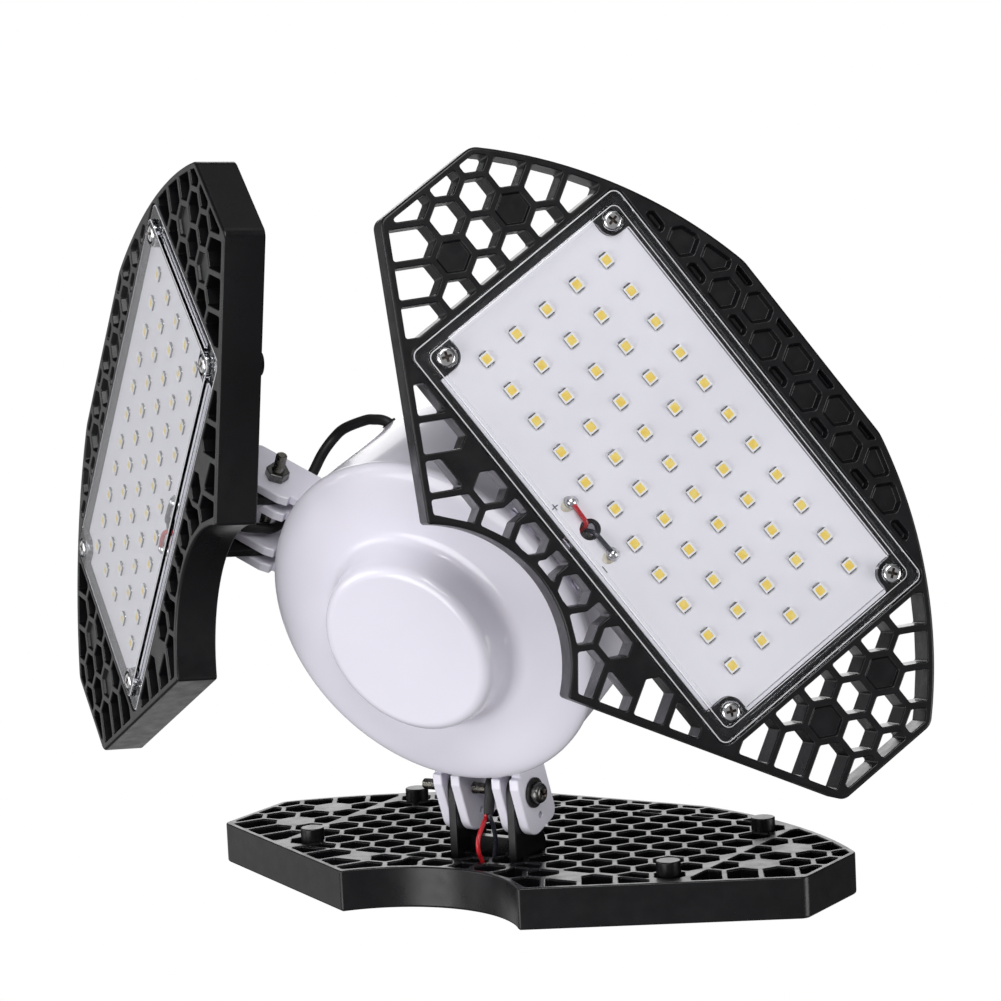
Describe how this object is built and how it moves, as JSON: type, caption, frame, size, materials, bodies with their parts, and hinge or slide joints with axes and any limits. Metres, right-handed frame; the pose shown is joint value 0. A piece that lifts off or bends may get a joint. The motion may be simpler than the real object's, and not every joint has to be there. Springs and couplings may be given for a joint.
{
  "type": "folding ceiling light",
  "caption": "Screw-in ceiling light: a round white hub with black honeycomb wings of light chips under clear covers, each folding on a friction hinge.",
  "frame": {"origin": "centre of the seat of the screw base, where the metal shell leaves the white neck", "axes": "+Z along the lamp's axis, up into the lamp holder; +X towards the wing that is on the right in the picture; the round cover faces -Z"},
  "size_m": [0.2443, 0.2538, 0.1292],
  "materials": {
    "white_gloss": "smooth gloss moulding",
    "wing_black": "fine satin moulding texture",
    "white_board": "satin solder mask on an aluminium core",
    "led_yellow": "white package with a yellow phosphor window",
    "clear_cover": "clear polished cover",
    "screw_chrome": "bright plated",
    "dark_steel": "dark zinc plated",
    "black_rubber": "dull",
    "solder": "shiny solder",
    "wire_red": "smooth insulation",
    "wire_black": "smooth insulation",
    "base_metal": "rolled thin metal, bright",
    "insulator_black": "glazed insulator",
    "green_board": "solder mask",
    "capacitor_sleeve": "shrink sleeve",
    "yellow_tape": "winding tape",
    "chip_black": "moulded package",
    "red_resin": "dipped resin"
  },
  "bodies": {
    "hub": {"front_cover": "white_gloss", "rear_housing": "white_gloss", "driver_board": "green_board", "driver_capacitors": "capacitor_sleeve", "driver_transformer": "yellow_tape", "driver_rectifier": "chip_black", "driver_chips": "chip_black", "driver_film_capacitor": "red_resin", "driver_screws": "screw_chrome", "mains_wires": "wire_black", "base_shell": "base_metal", "base_insulator": "insulator_black", "base_contact": "solder", "lead_grommets": "black_rubber", "hinge_screws": "dark_steel", "hinge_washers": "black_rubber", "hinge_nuts": "dark_steel", "sheath_a": "black_rubber", "sheath_b": "black_rubber", "sheath_c": "black_rubber"},
    "wing_a": {"frame_a": "wing_black", "led_board_a": "white_board", "leds_a": "led_yellow", "lens_a": "clear_cover", "lens_screws_a": "screw_chrome", "solder_joints_a": "solder", "red_wire_a": "wire_red", "black_wire_a": "wire_black"},
    "wing_b": {"frame_b": "wing_black", "led_board_b": "white_board", "leds_b": "led_yellow", "lens_b": "clear_cover", "lens_screws_b": "screw_chrome", "solder_joints_b": "solder", "red_wire_b": "wire_red", "black_wire_b": "wire_black"},
    "wing_c": {"frame_c": "wing_black", "led_board_c": "white_board", "leds_c": "led_yellow", "lens_c": "clear_cover", "lens_screws_c": "screw_chrome", "solder_joints_c": "solder", "red_wire_c": "wire_red", "black_wire_c": "wire_black"}
  },
  "joints": [
    {"name": "hinge_a", "type": "hinge", "parent": "hub", "child": "wing_a", "pos_m": [0.0538, 0, -0.06], "axis": [0, -1, 0], "range_deg": [-51.2, 38.8], "deforming": ["red_wire_a", "black_wire_a"]},
    {"name": "hinge_b", "type": "hinge", "parent": "hub", "child": "wing_b", "pos_m": [-0.0269, -0.04659, -0.06], "axis": [-0.866, 0.5, 0], "range_deg": [-42.8, 47.2], "deforming": ["red_wire_b", "black_wire_b"]},
    {"name": "hinge_c", "type": "hinge", "parent": "hub", "child": "wing_c", "pos_m": [-0.0269, 0.04659, -0.06], "axis": [0.866, 0.5, 0], "range_deg": [-69.3, 20.7], "deforming": ["red_wire_c", "black_wire_c"]}
  ]
}
